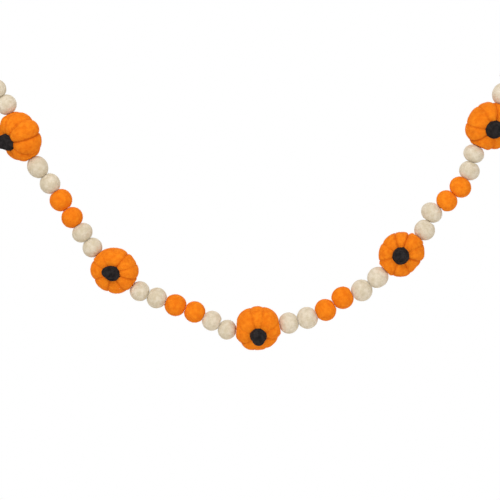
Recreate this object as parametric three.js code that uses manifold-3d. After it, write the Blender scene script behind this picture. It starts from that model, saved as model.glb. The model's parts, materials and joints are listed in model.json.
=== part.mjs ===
// A swag of wool felt balls and felt pumpkins, threaded on a cotton string that ends in a knotted loop on
// each side. Millimetres, +Z up. X runs along the swag and the pumpkins' stems face -Y. The origin is the
// top of the left loop, where the swag hangs.

import * as THREE from 'three';
import { mergeVertices } from 'three/addons/utils/BufferGeometryUtils.js';
import Module from 'manifold-3d';

const wasm = await Module();
wasm.setup();

// Clearance between two pieces that touch
const GAP = 0.3;

// How far a neighbour presses into each end of a bead
const BALL_PRESS = 0.8;
const PUMPKIN_PRESS = 1.5;

// String and its end loops
const STRING_RADIUS = 0.7;
const STRING_SIDES = 8;
const HANG_SPAN = 686;
const LOOP_LENGTH = 22;
const LOOP_WIDTH = 9;
const LOOP_STEPS = 14;
const LEG_SPREAD = 1.9;
const KNOT_LENGTH = 6;
const KNOT_WIDTH = 4.6;

// Hole that the needle leaves through a bead
const BORE_RADIUS = 1.15;

// Felt ball
const BALL_SIDES = 12;
const BALL_ROWS = 8;
const BALL_LUMP = 0.03;

// Felt pumpkin. Its depth is a share of its width, and the dimple's sizes are shares of half the depth and of
// the radius. CREASE_START is where a crease reaches its full depth, as a share of the radius.
const PUMPKIN_DEPTH = 0.76;
const PUMPKIN_LUMP = 0.025;
const DIMPLE_DEPTH = 0.22;
const DIMPLE_RADIUS = 0.4;
const CREASE_START = 0.3;
const FULLNESS = 2.25;
const LOBE_SIDES = 4;
const PUMPKIN_ROWS = 13;

// Pumpkin stem, with its outline as shares of its length and of its radius at the foot
const STEM_LENGTH = 17;
const STEM_ROOT = 9;
const STEM_SIDES = 12;
const STEM_LUMP = 0.05;
const STEM_OUTLINE = [
  { up: 0.05, out: 1 },
  { up: 0.3, out: 0.84 },
  { up: 0.6, out: 0.72 },
  { up: 0.85, out: 0.62 },
  { up: 0.97, out: 0.42 },
];

// The beads from left to right. across and down lead from the left loop's top to a bead's middle and width
// is its size across the string. A pumpkin's turn is how far its stem side swings down from facing the
// front, askew how far it is threaded off square, towards the string's right end, and lean how far its stem
// tips the same way. stem is the stem's radius at the foot. Angles are in degrees.
const BEADS = [
  { kind: 'ivory', across: 46, down: 79.5, width: 24 },
  { kind: 'ivory', across: 58, down: 98, width: 24.5 },
  { kind: 'pumpkin', across: 73, down: 134, width: 57, turn: 57, askew: 0, lean: -18, stem: 11.2 },
  { kind: 'ivory', across: 96.5, down: 174, width: 25 },
  { kind: 'ivory', across: 110.5, down: 193, width: 24.5 },
  { kind: 'orange', across: 123.5, down: 212.5, width: 27 },
  { kind: 'orange', across: 137.5, down: 234, width: 26.5 },
  { kind: 'ivory', across: 149.5, down: 252, width: 25.5 },
  { kind: 'ivory', across: 160.5, down: 268.5, width: 24 },
  { kind: 'pumpkin', across: 189, down: 297, width: 56.5, turn: 17, askew: 0, lean: -24, stem: 10 },
  { kind: 'ivory', across: 218.5, down: 322, width: 24 },
  { kind: 'ivory', across: 238.5, down: 330, width: 25 },
  { kind: 'orange', across: 260.5, down: 338.5, width: 26.5 },
  { kind: 'orange', across: 284.5, down: 347, width: 25.5 },
  { kind: 'ivory', across: 305, down: 357.5, width: 24 },
  { kind: 'ivory', across: 322.5, down: 368, width: 24 },
  { kind: 'pumpkin', across: 360.5, down: 366.5, width: 55.5, turn: 29, askew: -2, lean: 0, stem: 11 },
  { kind: 'ivory', across: 397.5, down: 360, width: 25 },
  { kind: 'ivory', across: 419, down: 354, width: 26.5 },
  { kind: 'orange', across: 441, down: 344.5, width: 27 },
  { kind: 'orange', across: 461.5, down: 330, width: 27 },
  { kind: 'ivory', across: 484.5, down: 321, width: 25.5 },
  { kind: 'ivory', across: 503.5, down: 305.5, width: 25 },
  { kind: 'pumpkin', across: 533, down: 277, width: 56, turn: 1, askew: -9, lean: 4, stem: 11 },
  { kind: 'ivory', across: 560.5, down: 248, width: 25 },
  { kind: 'ivory', across: 568.5, down: 227.5, width: 26 },
  { kind: 'orange', across: 586.5, down: 213.5, width: 26.5 },
  { kind: 'orange', across: 603, down: 197, width: 26.5 },
  { kind: 'ivory', across: 614, down: 177, width: 25 },
  { kind: 'ivory', across: 619, down: 157, width: 25 },
  { kind: 'pumpkin', across: 635, down: 127, width: 56.5, turn: 26, askew: -7, lean: 15, stem: 12 },
  { kind: 'ivory', across: 654, down: 84, width: 24.5 },
  { kind: 'ivory', across: 662.5, down: 62.5, width: 24 },
];

// Each pumpkin's creases, in degrees clockwise from its upper side, how deep each one presses, and how far
// the lobe after it swells, both in hundredths of the pumpkin's radius
const CREASES = [
  {
    angles: [-157, -111, -68, -28, 18, 64, 112, 158],
    depths: [6, 6, 5, 4, 7, 6, 8, 8],
    swells: [-3, 0, 2, 8, 0, 0, -2, 0],
  },
  {
    angles: [-157, -108, -74, -4, 32, 67, 108, 155],
    depths: [6, 4, 3, 12, 5, 4, 3, 6],
    swells: [3, 3, -7, -7, 0, 3, 0, -1],
  },
  {
    angles: [-164, -123, -68, -15, 19, 71, 116, 162],
    depths: [2, 2, 2, 3, 3, 3, 7, 6],
    swells: [5, 5, 3, 0, 1, 3, -3, -3],
  },
  {
    angles: [-160, -114, -60, -14, 26, 63, 112, 156],
    depths: [12, 5, 4, 7, 6, 14, 3, 14],
    swells: [-5, 4, -3, -4, -7, 5, -4, -16],
  },
  {
    angles: [-167, -124, -64, -22, 32, 74, 119, 158],
    depths: [6, 4, 4, 4, 6, 11, 6, 6],
    swells: [7, 5, 3, -3, -3, 0, 0, 0],
  },
];

const ivoryFelt = new THREE.MeshStandardMaterial({ color: 0xe2d0b8, roughness: 0.95, metalness: 0 });
const orangeFelt = new THREE.MeshStandardMaterial({ color: 0xec7f1d, roughness: 0.93, metalness: 0 });
const blackFelt = new THREE.MeshStandardMaterial({ color: 0x231c1b, roughness: 0.95, metalness: 0 });
const cottonString = new THREE.MeshStandardMaterial({ color: 0xece3d2, roughness: 0.9, metalness: 0 });

const radians = THREE.MathUtils.degToRad;

// Where the string runs

// The points between neighbouring beads, each nearer to the smaller one, and the two outer ends
function meetingPoints(beads) {
  const middles = beads.map((bead) => new THREE.Vector2(bead.across, -bead.down));
  const points = [];
  for (let i = 1; i < beads.length; i++) {
    const share = beads[i - 1].width / (beads[i - 1].width + beads[i].width);
    points.push(middles[i - 1].clone().lerp(middles[i], share));
  }
  const last = middles.length - 1;
  const firstEnd = middles[0].clone().multiplyScalar(2).sub(points[0]);
  const lastEnd = middles[last].clone().multiplyScalar(2).sub(points[last - 1]);
  return [firstEnd, ...points, lastEnd];
}

// A bead's seat on the string: the middle and slope of its straight bore, half its length, the tilt of the
// flats that its neighbours press on it, and how far its own middle stands above the bore
function seats(beads, points) {
  const spans = beads.map((bead, i) => points[i + 1].clone().sub(points[i]));
  const slopes = spans.map((span) => span.angle());
  return beads.map((bead, i) => {
    const middle = points[i].clone().lerp(points[i + 1], 0.5);
    const upward = new THREE.Vector2(-Math.sin(slopes[i]), Math.cos(slopes[i]));
    const before = slopes[Math.max(i - 1, 0)];
    const after = slopes[Math.min(i + 1, slopes.length - 1)];
    return {
      middle,
      slope: slopes[i],
      halfLength: spans[i].length() / 2,
      entryTilt: halfTurn(slopes[i], before),
      exitTilt: halfTurn(slopes[i], after),
      offset: new THREE.Vector2(bead.across, -bead.down).sub(middle).dot(upward),
    };
  });
}

function halfTurn(from, to) {
  return Math.atan2(Math.sin(to - from), Math.cos(to - from)) / 2;
}

// Felt, in a bead's own frame: Y along the string, X to the front and Z to the string's upper side

// Moves every vertex of a geometry to the place that a function of its position gives
function reshape(geometry, place) {
  const position = geometry.attributes.position;
  const point = new THREE.Vector3();
  for (let i = 0; i < position.count; i++) {
    point.fromBufferAttribute(position, i);
    place(point);
    position.setXYZ(i, point.x, point.y, point.z);
  }
  return geometry;
}

// Hand-rolled felt is never quite round: a slow wave over the surface, different for each bead
function unevenness(direction, seed) {
  const wave = Math.sin(2.6 * direction.x + 1.9 * seed) + Math.sin(2.2 * direction.y + 3.1 * seed);
  return (wave + Math.sin(3.1 * direction.z + 4.7 * seed)) / 3;
}

// Clamps a point between the two flats where the neighbouring beads press, a little back from each
function pressFlat(point, seat) {
  const exitSlant = point.z * Math.tan(seat.exitTilt);
  const entrySlant = point.z * Math.tan(seat.entryTilt);
  const high = seat.halfLength - exitSlant - GAP / 2 / Math.cos(seat.exitTilt);
  const low = -seat.halfLength - entrySlant + GAP / 2 / Math.cos(seat.entryTilt);
  point.y = THREE.MathUtils.clamp(point.y, low, high);
}

// A felt ball turned about its bore, with a closed profile from one end of the bore round to the other
function ballGeometry(bead, seat, seed) {
  const acrossRadius = bead.width / 2;
  const alongRadius = seat.halfLength + BALL_PRESS;
  const start = Math.asin(BORE_RADIUS / acrossRadius);
  const profile = [];
  for (let row = 0; row <= BALL_ROWS; row++) {
    const angle = start + ((Math.PI - 2 * start) * row) / BALL_ROWS;
    profile.push(new THREE.Vector2(acrossRadius * Math.sin(angle), -alongRadius * Math.cos(angle)));
  }
  profile.push(profile[0].clone());
  const rim = 1.5 * BORE_RADIUS;
  return reshape(new THREE.LatheGeometry(profile, BALL_SIDES), (point) => {
    if (Math.hypot(point.x, point.z) > rim) {
      const direction = point.clone().normalize();
      point.multiplyScalar(1 + BALL_LUMP * unevenness(direction, seed));
      point.z += seat.offset;
    }
    pressFlat(point, seat);
  });
}

// Where a share of the way round a pumpkin falls: its angle, how deep the nearer crease presses there and how
// far the lobe swells
function lobePlace(share, { angles, depths, swells }) {
  const place = share * angles.length;
  const from = Math.floor(place) % angles.length;
  const to = (from + 1) % angles.length;
  const part = place - Math.floor(place);
  const span = (angles[to] - angles[from] + 360) % 360;
  const depth = part < 0.5 ? depths[from] : depths[to];
  return {
    angle: radians(angles[from] + span * part),
    press: (depth / 100) * (1 - Math.sin(Math.PI * part)) ** 1.5,
    swell: (swells[from] / 100) * Math.sin(Math.PI * part),
  };
}

// A pumpkin's body before its bore is cut: a full, flattened round with a dimple at both poles and soft
// lobes between sharp creases. Its stem side is at +X until it is turned about the string.
function pumpkinBody(bead, creases, seat, seed) {
  const radius = bead.width / 2;
  const halfDepth = radius * PUMPKIN_DEPTH;
  const stretch = (seat.halfLength + PUMPKIN_PRESS) / radius;
  const profile = [];
  for (let row = 0; row <= PUMPKIN_ROWS; row++) {
    const angle = (Math.PI * row) / PUMPKIN_ROWS;
    const atPole = row === 0 || row === PUMPKIN_ROWS;
    const out = atPole ? 0 : Math.sin(angle) ** (2 / FULLNESS);
    const rise = -Math.sign(Math.cos(angle)) * Math.abs(Math.cos(angle)) ** (2 / FULLNESS);
    const dimple = DIMPLE_DEPTH * Math.exp(-((out / DIMPLE_RADIUS) ** 2));
    profile.push(new THREE.Vector2(radius * out, halfDepth * rise * (1 - dimple)));
  }
  const body = new THREE.LatheGeometry(profile, creases.angles.length * LOBE_SIDES);
  body.rotateZ(-Math.PI / 2);
  reshape(body, (point) => {
    const reach = Math.hypot(point.y, point.z);
    const share = THREE.MathUtils.euclideanModulo(Math.atan2(point.y, point.z) / (2 * Math.PI), 1);
    const { angle, press, swell } = lobePlace(share, creases);
    point.y = reach * Math.sin(angle);
    point.z = reach * Math.cos(angle);
    const crease = press * Math.min(1, reach / radius / CREASE_START);
    const lump = PUMPKIN_LUMP * unevenness(point.clone().normalize(), seed);
    point.multiplyScalar(1 - crease + (swell * reach) / radius + lump);
    point.y *= stretch;
  });
  body.rotateZ(radians(bead.askew));
  body.rotateY(radians(bead.turn));
  return reshape(body, (point) => {
    point.z += seat.offset;
    pressFlat(point, seat);
  });
}

// A tapered felt stub, rooted below the dimple's floor until the body is cut away from it
function stemBlank(bead, seat, seed) {
  const profile = [new THREE.Vector2(0, -STEM_ROOT), new THREE.Vector2(bead.stem, -STEM_ROOT)];
  for (const { up, out } of STEM_OUTLINE) {
    profile.push(new THREE.Vector2(bead.stem * out, STEM_LENGTH * up));
  }
  profile.push(new THREE.Vector2(0, STEM_LENGTH));
  const stem = reshape(new THREE.LatheGeometry(profile, STEM_SIDES), (point) => {
    const lump = 1 + STEM_LUMP * unevenness(point.clone().normalize(), seed);
    point.x *= lump;
    point.z *= lump;
  });
  stem.rotateZ(radians(bead.lean) - Math.PI / 2);
  stem.translate((bead.width / 2) * PUMPKIN_DEPTH * (1 - DIMPLE_DEPTH), 0, 0);
  stem.rotateZ(radians(bead.askew));
  stem.rotateY(radians(bead.turn));
  stem.translate(0, 0, seat.offset);
  return stem;
}

// Solids

function toSolid(geometry) {
  const bare = geometry.clone();
  bare.deleteAttribute('normal');
  bare.deleteAttribute('uv');
  const merged = mergeVertices(bare);
  return new wasm.Manifold(
    new wasm.Mesh({
      numProp: 3,
      vertProperties: Float32Array.from(merged.attributes.position.array),
      triVerts: Uint32Array.from(merged.index.array),
    }),
  );
}

function toGeometry(solid) {
  const mesh = solid.getMesh();
  const geometry = new THREE.BufferGeometry();
  geometry.setAttribute('position', new THREE.BufferAttribute(mesh.vertProperties, 3));
  geometry.setIndex(new THREE.BufferAttribute(mesh.triVerts, 1));
  geometry.computeVertexNormals();
  return geometry;
}

// A pumpkin's body with the string's bore through it, and the stem cut to sit on the dimple
function pumpkinGeometries(bead, creases, seat, seed) {
  const body = pumpkinBody(bead, creases, seat, seed);
  const bore = new THREE.CylinderGeometry(BORE_RADIUS, BORE_RADIUS, 2 * bead.width, STRING_SIDES);
  const shell = body.clone();
  const outward = new THREE.Vector3(GAP, 0, 0).applyEuler(
    new THREE.Euler(0, radians(bead.turn), radians(bead.askew), 'YZX'),
  );
  shell.translate(outward.x, outward.y, outward.z);
  return {
    body: toGeometry(toSolid(body).subtract(toSolid(bore))),
    stem: toGeometry(toSolid(stemBlank(bead, seat, seed)).subtract(toSolid(shell))),
  };
}

// String

// A line through given points, with one step to each leg however long it is
class Route extends THREE.Curve {
  constructor(points) {
    super();
    this.points = points;
  }

  getPoint(t, target = new THREE.Vector3()) {
    const place = t * (this.points.length - 1);
    const leg = Math.min(Math.floor(place + 1e-9), this.points.length - 2);
    return target.lerpVectors(this.points[leg], this.points[leg + 1], place - leg);
  }

  getPointAt(u, target) {
    return this.getPoint(u, target);
  }

  getTangentAt(u, target = new THREE.Vector3()) {
    const last = this.points.length - 1;
    const i = Math.round(u * last);
    const from = this.points[Math.max(i - 1, 0)];
    const to = this.points[Math.min(i + 1, last)];
    const back = this.points[i].clone().sub(from).normalize();
    const onward = to.clone().sub(this.points[i]).normalize();
    return target.copy(back.add(onward)).normalize();
  }
}

function stringAlong(points) {
  const section = [];
  for (let side = 0; side < STRING_SIDES; side++) {
    const angle = (2 * Math.PI * side) / STRING_SIDES;
    section.push(new THREE.Vector2(STRING_RADIUS * Math.cos(angle), STRING_RADIUS * Math.sin(angle)));
  }
  return new THREE.ExtrudeGeometry(new THREE.Shape(section), {
    steps: points.length - 1,
    extrudePath: new Route(points),
    bevelEnabled: false,
  });
}

function upright(point) {
  return new THREE.Vector3(point.x, 0, point.y);
}

// The loop that hangs from a point, with its knot towards the beads, as the knot's middle, the loop's string
// and the knot itself
function endLoop(hang, firstBead) {
  const along = firstBead.clone().sub(hang).normalize();
  const across = new THREE.Vector2(-along.y, along.x);
  const knot = hang.clone().addScaledVector(along, LOOP_LENGTH);
  const start = Math.asin(LEG_SPREAD / LOOP_WIDTH);
  const points = [];
  for (let step = 0; step <= LOOP_STEPS; step++) {
    const angle = start + ((2 * Math.PI - 2 * start) * step) / LOOP_STEPS;
    const back = (LOOP_LENGTH * (1 - Math.cos(angle))) / 2;
    const aside = (LOOP_WIDTH / 2) * Math.sin(angle);
    points.push(upright(knot.clone().addScaledVector(along, -back).addScaledVector(across, aside)));
  }
  const knotGeometry = new THREE.SphereGeometry(0.5, 10, 6);
  knotGeometry.scale(KNOT_WIDTH, KNOT_LENGTH, KNOT_WIDTH);
  knotGeometry.rotateX(Math.PI / 2);
  knotGeometry.rotateY(Math.atan2(along.x, along.y));
  knotGeometry.translate(knot.x, 0, knot.y);
  return { knot, loop: toSolid(stringAlong(points)), lump: toSolid(knotGeometry) };
}

function stringGeometry(points) {
  const left = endLoop(new THREE.Vector2(0, 0), points[0]);
  const right = endLoop(new THREE.Vector2(HANG_SPAN, 0), points[points.length - 1]);
  const run = toSolid(stringAlong([left.knot, ...points, right.knot].map(upright)));
  return toGeometry([left.loop, left.lump, right.loop, right.lump].reduce((all, part) => all.add(part), run));
}

// The swag

function addPiece(parent, name, geometry, material) {
  const piece = new THREE.Mesh(geometry, material);
  piece.name = name;
  parent.add(piece);
}

// A group whose Y runs along a bead's bore, X to the front and Z to the string's upper side
function seatGroup(seat) {
  const front = new THREE.Vector3(0, -1, 0);
  const along = new THREE.Vector3(Math.cos(seat.slope), 0, Math.sin(seat.slope));
  const upper = new THREE.Vector3().crossVectors(front, along);
  const group = new THREE.Group();
  group.position.copy(upright(seat.middle));
  group.quaternion.setFromRotationMatrix(new THREE.Matrix4().makeBasis(front, along, upper));
  return group;
}

function buildGarland() {
  const garland = new THREE.Group();
  const points = meetingPoints(BEADS);
  const places = seats(BEADS, points);
  let balls = 0;
  let pumpkins = 0;
  BEADS.forEach((bead, i) => {
    const group = seatGroup(places[i]);
    garland.add(group);
    if (bead.kind === 'pumpkin') {
      const { body, stem } = pumpkinGeometries(bead, CREASES[pumpkins], places[i], i);
      pumpkins += 1;
      addPiece(group, `pumpkin_${pumpkins}`, body, orangeFelt);
      addPiece(group, `stem_${pumpkins}`, stem, blackFelt);
    } else {
      balls += 1;
      const felt = bead.kind === 'ivory' ? ivoryFelt : orangeFelt;
      addPiece(group, `ball_${String(balls).padStart(2, '0')}`, ballGeometry(bead, places[i], i), felt);
    }
  });
  addPiece(garland, 'string', stringGeometry(points), cottonString);
  return garland;
}

export default buildGarland();
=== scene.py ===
"""Felt ball garland: wool felt balls and lobed felt pumpkins on a cotton string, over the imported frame."""

import json
import math

import bpy
import numpy as np
from mathutils import Matrix, Vector

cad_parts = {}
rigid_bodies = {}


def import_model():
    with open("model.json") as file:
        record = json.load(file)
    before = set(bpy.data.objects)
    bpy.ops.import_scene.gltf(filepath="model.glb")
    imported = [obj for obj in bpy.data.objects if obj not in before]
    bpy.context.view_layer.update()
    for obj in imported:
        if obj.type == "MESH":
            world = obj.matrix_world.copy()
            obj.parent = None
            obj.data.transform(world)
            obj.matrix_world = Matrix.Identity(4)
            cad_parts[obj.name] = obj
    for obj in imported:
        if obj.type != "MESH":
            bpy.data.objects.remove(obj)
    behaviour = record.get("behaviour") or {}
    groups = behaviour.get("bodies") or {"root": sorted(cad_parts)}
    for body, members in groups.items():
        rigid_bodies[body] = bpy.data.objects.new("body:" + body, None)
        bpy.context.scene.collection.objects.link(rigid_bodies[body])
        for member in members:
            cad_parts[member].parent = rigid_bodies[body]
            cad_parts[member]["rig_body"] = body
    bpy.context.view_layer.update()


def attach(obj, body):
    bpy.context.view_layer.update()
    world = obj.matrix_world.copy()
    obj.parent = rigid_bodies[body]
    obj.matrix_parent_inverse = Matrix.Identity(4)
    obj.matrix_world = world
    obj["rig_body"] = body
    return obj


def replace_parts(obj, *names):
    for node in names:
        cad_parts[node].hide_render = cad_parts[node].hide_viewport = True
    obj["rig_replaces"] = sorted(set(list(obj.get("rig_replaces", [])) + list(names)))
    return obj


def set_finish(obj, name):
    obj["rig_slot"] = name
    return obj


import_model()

bl_info = {
    "name": "Felt Ball Garland",
    "version": (1, 0, 0),
    "blender": (4, 5, 0),
    "location": "3D View > Sidebar > Garland",
    "description": "Wool felt balls and felt pumpkins threaded on a cotton string with a loop at each end",
    "category": "Object",
}

MM = 0.001
WHITE = (1, 1, 1, 1)


def table(columns, *rows):
    """Rows of values by the names of their columns. A row may leave out the last ones."""
    return [dict(zip(columns.split(), row)) for row in rows]


# The beads from left to right: where a bead's middle is across and down from the left loop's top, and its
# width. Then how far a pumpkin is turned down from the front, threaded askew and its stem tipped, and the
# radius of the stem's foot. Millimetres and degrees.
BEADS = table(
    "kind across down width turn askew lean stem",
    ("ivory", 46, 79.5, 24),
    ("ivory", 58, 98, 24.5),
    ("pumpkin", 73, 134, 57, 57, 0, -18, 11.2),
    ("ivory", 96.5, 174, 25),
    ("ivory", 110.5, 193, 24.5),
    ("orange", 123.5, 212.5, 27),
    ("orange", 137.5, 234, 26.5),
    ("ivory", 149.5, 252, 25.5),
    ("ivory", 160.5, 268.5, 24),
    ("pumpkin", 189, 297, 56.5, 17, 0, -24, 10),
    ("ivory", 218.5, 322, 24),
    ("ivory", 238.5, 330, 25),
    ("orange", 260.5, 338.5, 26.5),
    ("orange", 284.5, 347, 25.5),
    ("ivory", 305, 357.5, 24),
    ("ivory", 322.5, 368, 24),
    ("pumpkin", 360.5, 366.5, 55.5, 29, -2, 0, 11),
    ("ivory", 397.5, 360, 25),
    ("ivory", 419, 354, 26.5),
    ("orange", 441, 344.5, 27),
    ("orange", 461.5, 330, 27),
    ("ivory", 484.5, 321, 25.5),
    ("ivory", 503.5, 305.5, 25),
    ("pumpkin", 533, 277, 56, 1, -9, 4, 11),
    ("ivory", 560.5, 248, 25),
    ("ivory", 568.5, 227.5, 26),
    ("orange", 586.5, 213.5, 26.5),
    ("orange", 603, 197, 26.5),
    ("ivory", 614, 177, 25),
    ("ivory", 619, 157, 25),
    ("pumpkin", 635, 127, 56.5, 26, -7, 15, 12),
    ("ivory", 654, 84, 24.5),
    ("ivory", 662.5, 62.5, 24),
)

# Each pumpkin's creases: degrees clockwise from its upper side, then in hundredths of the pumpkin's radius
# how deep each one presses and how far the lobe after it swells, and how sharp its line is and how dark the
# shade painted along it is, in hundredths
CREASES = table(
    "angles depths swells lines",
    ([-157, -111, -68, -28, 18, 64, 112, 158], [6, 6, 5, 4, 7, 6, 8, 8],
     [-3, 0, 2, 8, 0, 0, -2, 0], [30, 25, 20, 45, 100, 60, 45, 40]),
    ([-157, -108, -74, -4, 32, 67, 108, 155], [6, 4, 3, 12, 5, 4, 3, 6],
     [3, 3, -7, -7, 0, 3, 0, -1], [40, 25, 30, 70, 40, 90, 70, 70]),
    ([-164, -123, -68, -15, 19, 71, 116, 162], [2, 2, 2, 3, 3, 3, 7, 6],
     [5, 5, 3, 0, 1, 3, -3, -3], [15, 40, 10, 50, 45, 30, 20, 15]),
    ([-160, -114, -60, -14, 26, 63, 112, 156], [12, 5, 4, 7, 6, 14, 3, 14],
     [-5, 4, -3, -4, -7, 5, -4, -16], [45, 60, 60, 20, 80, 60, 45, 80]),
    ([-167, -124, -64, -22, 32, 74, 119, 158], [6, 4, 4, 4, 6, 11, 6, 6],
     [7, 5, 3, -3, -3, 0, 0, 0], [30, 35, 100, 70, 50, 70, 40, 30]),
)

# The share of the crease cut that even the faintest line has, and what the sharpest has more
FAINTEST_CUT = 0.2
ADDED_CUT = 0.6
# The shade in a crease: its width as a share of the cut's, its strength at the stem and its loss to the rim
SHADE_WIDTH = 1.1
SHADE_AT_STEM = 0.75
SHADE_LOSS = 0.35
# How fast the press of a crease fades into the lobe, and how far the points crowd towards the creases
PRESS_FADE = 1.5
CROWDING = 0.75

# Where the needle has dented a pumpkin's front: across and down from the left loop's top, width and depth
DENTS = table(
    "pumpkin across down width depth",
    (1, 71.5, 123.5, 4.5, 0.8),
    (1, 66, 128, 4, 0.6),
    (1, 84.5, 158, 6, 0.6),
    (4, 524, 259, 5, 0.7),
    (5, 617.5, 131.5, 5, 0.8),
    (5, 628, 108, 6, 0.5),
)
# Only what stands this far before the string is dented, with a shade of this strength per millimetre
DENT_FRONT = 4 * MM
DENT_SHADE = 0.6

# The stem's outline, as shares of its length and of its radius at the foot
STEM_SIDES = 16
STEM_OUTLINE = table(
    "up out",
    (0.05, 1.0),
    (0.3, 0.84),
    (0.6, 0.72),
    (0.85, 0.62),
    (0.97, 0.42),
    (1.0, 0.36),
)
STEM_INSET = 0.2
# The stem's ridges, their height as a share of its radius, and how far they turn from one bead to the next
STEM_RIDGES = table(
    "count height per_bead",
    (5, 0.007, 1),
    (2, 0.025, 2.3),
)
# The spiral of the rolled end: its pitch and height, and where along the stem it starts and is full
SPIRAL_PITCH = 2.4 * MM
SPIRAL_HEIGHT = 0.28 * MM
SPIRAL_START = 0.9
SPIRAL_FULL = 0.97
# The black felt's lumps are this much higher than the orange felt's
STEM_NAP = 1.3

# The slow waves along the three axes that make a bead uneven
SURFACE_WAVES = table(
    "per_radius per_bead",
    (2.6, 1.9),
    (2.2, 3.1),
    (3.1, 4.7),
)

# The wool's tone drifts along the swag, with small steps from ball to ball
TONE_WAVES = table(
    "height per_bead start",
    (1, 0.1, 4),
    (0.6, 1.5, 0),
)

# How much of each pattern goes into the felt's colour and height
CLUMP_TONE = 0.6
FIBRE_TONE = 0.2
FIBRE_HEIGHT = 0.35
# The middle of a noise's range
MIDDLE = 0.5
# The cotton's darker flecks, as a share of its own colour
COTTON_SHADE = 0.78
# The sockets of a Mix node that mixes colours
SHARE, FIRST, SECOND, RESULT = 0, 6, 7, 2

# How finely the pieces are drawn
BALL_SEGMENTS = 72
BALL_RINGS = 44
LOBE_SEGMENTS = 20
PUMPKIN_RINGS = 68
NEEDLE_SIDES = 16
PLIES = 3
PLY_POINTS = 5
LOOP_STEPS = 40
KNOT_STEPS = 72
RUN_STEP = 3 * MM
END_STEP = 0.6 * MM
# How near to a place a point counts as being there, how near two points are merged, and how near to its axis
# the points of a ball blank, of 1 m radius, are its hole's rim
SAME = 0.1 * MM
WELD = 0.01 * MM
HOLE_RIM = 0.1

# How deep the valleys between the plies are and how far the string gives way in a knot, as shares of its
# radius
PLY_VALLEY = 0.16
KNOT_GIVE = 0.8

# A loose fibre: how far its tip goes aside and down, as shares of its length, its greatest tilt and turn in
# radians, and the least and greatest share of its length
TIP_ASIDE = 0.45
TIP_DOWN = 0.12
FIBRE_TILT = 1.25
FIBRE_TURN = 6.28
FIBRE_LEAST = 0.45
FIBRE_MOST = 1.3
# What each draw's seed adds to its group's number
SPOT_SEED, TILT_SEED, SIZE_SEED = 1, 11, 21

# The loose fibres in groups: the felt that they stand on, its slot and its wool
FUZZ = table(
    "name felt slot wool",
    ("ivory_fuzz", "ivory_wool_felt", "ivory_felt", "ivory"),
    ("orange_fuzz", "orange_wool_felt", "orange_felt", "orange"),
    ("pumpkin_fuzz", "pumpkin_wool_felt", "orange_felt", "orange"),
    ("stem_fuzz", "black_wool_felt", "black_felt", "black"),
)

# The area lights, in metres from the middle of the view and in watts: the key from the upper left, the fill
# from the right and one from behind and above
LIGHTS = table(
    "name away size power",
    ("key_light", (-1.0, -1.9, 1.5), 1.2, 32),
    ("fill_light", (1.7, -1.7, 0.2), 1.6, 12),
    ("back_light", (0.2, 2.0, 1.3), 1.6, 16),
)
WORLD_LIGHT = 0.68
SENSOR_WIDTH = 36
# The paper's radius in metres, and where it starts to fade and has gone
PAPER_RADIUS = 1.0
PAPER_SIDES = 64
PAPER_FADE = 0.45
PAPER_GONE = 0.9


# Settings


def millimetres(name, description, value):
    """A length property whose default is in millimetres."""
    return bpy.props.FloatProperty(name=name, description=description, default=value * MM, unit="LENGTH")


def fraction(name, description, value):
    """A property that is a share of something."""
    return bpy.props.FloatProperty(
        name=name, description=description, default=value, subtype="FACTOR", min=0, max=1)


def plain_number(name, description, value):
    """A property without a unit."""
    return bpy.props.FloatProperty(name=name, description=description, default=value)


def hex_colour(name, description, value):
    """A colour property whose default is an sRGB hex value."""
    return bpy.props.FloatVectorProperty(
        name=name, description=description, default=srgb(value)[:3], subtype="COLOR", size=3, min=0, max=1)


def srgb(value):
    """An sRGB hex value as a linear colour with alpha."""
    channels = [int(value[i:i + 2], 16) / 255 for i in (1, 3, 5)]
    linear = [c / 12.92 if c <= 0.04045 else ((c + 0.055) / 1.055) ** 2.4 for c in channels]
    return (*linear, 1.0)


class GarlandFelt(bpy.types.PropertyGroup):
    """Sizes of the felt balls, pumpkins and stems"""

    ball_press: millimetres("Ball Press", "How far a neighbour presses into each end of a ball", 0.8)
    pumpkin_press: millimetres("Pumpkin Press", "How far a neighbour presses into each end of a pumpkin", 1.5)
    gap: millimetres("Gap", "Clearance between two pieces that touch", 0.3)
    bore_radius: millimetres("Needle Hole Radius", "Radius of the needle's hole in a pumpkin", 1.15)
    ball_lump: fraction("Ball Unevenness", "How uneven it is, as a share of its radius", 0.03)
    ball_tone: fraction("Ball Tone", "How far a ball's wool is paler or darker than the others'", 0.07)
    pumpkin_lump: fraction("Pumpkin Unevenness", "How uneven it is, as a share of its radius", 0.025)
    pumpkin_depth: fraction("Pumpkin Depth", "Depth from stem to back as a share of the width", 0.76)
    pumpkin_fullness: plain_number("Pumpkin Fullness", "2 is a plain ellipse, more is boxier", 2.25)
    dimple_depth: fraction("Dimple Depth", "Depth of the dimple as a share of half the depth", 0.22)
    dimple_radius: fraction("Dimple Radius", "Radius of the dimple as a share of the pumpkin's", 0.4)
    crease_start: fraction("Crease Start", "Where a crease is at full depth, as a share of radius", 0.3)
    crease_width: millimetres("Crease Width", "Width of the sharp bottom of a crease", 1.6)
    crease_cut: millimetres("Crease Cut", "Extra depth of that sharp bottom", 0.9)
    stem_length: millimetres("Stem Length", "Length of a stem above the dimple's floor", 17)
    stem_root: millimetres("Stem Root", "How far a stem reaches below the dimple's floor before it is cut", 9)
    nap_size: millimetres("Nap Size", "Size of the small lumps that felting leaves", 2.6)
    nap_height: millimetres("Nap Height", "Height of those lumps", 0.35)


class GarlandFuzz(bpy.types.PropertyGroup):
    """The loose fibres that stand out of the felt"""

    length: millimetres("Fibre Length", "Length of a loose fibre", 1.3)
    radius: millimetres("Fibre Radius", "Radius of a loose fibre at its root", 0.04)
    per_square_cm: plain_number("Fibres per Square Centimetre", "How densely the fibres stand", 40)


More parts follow.
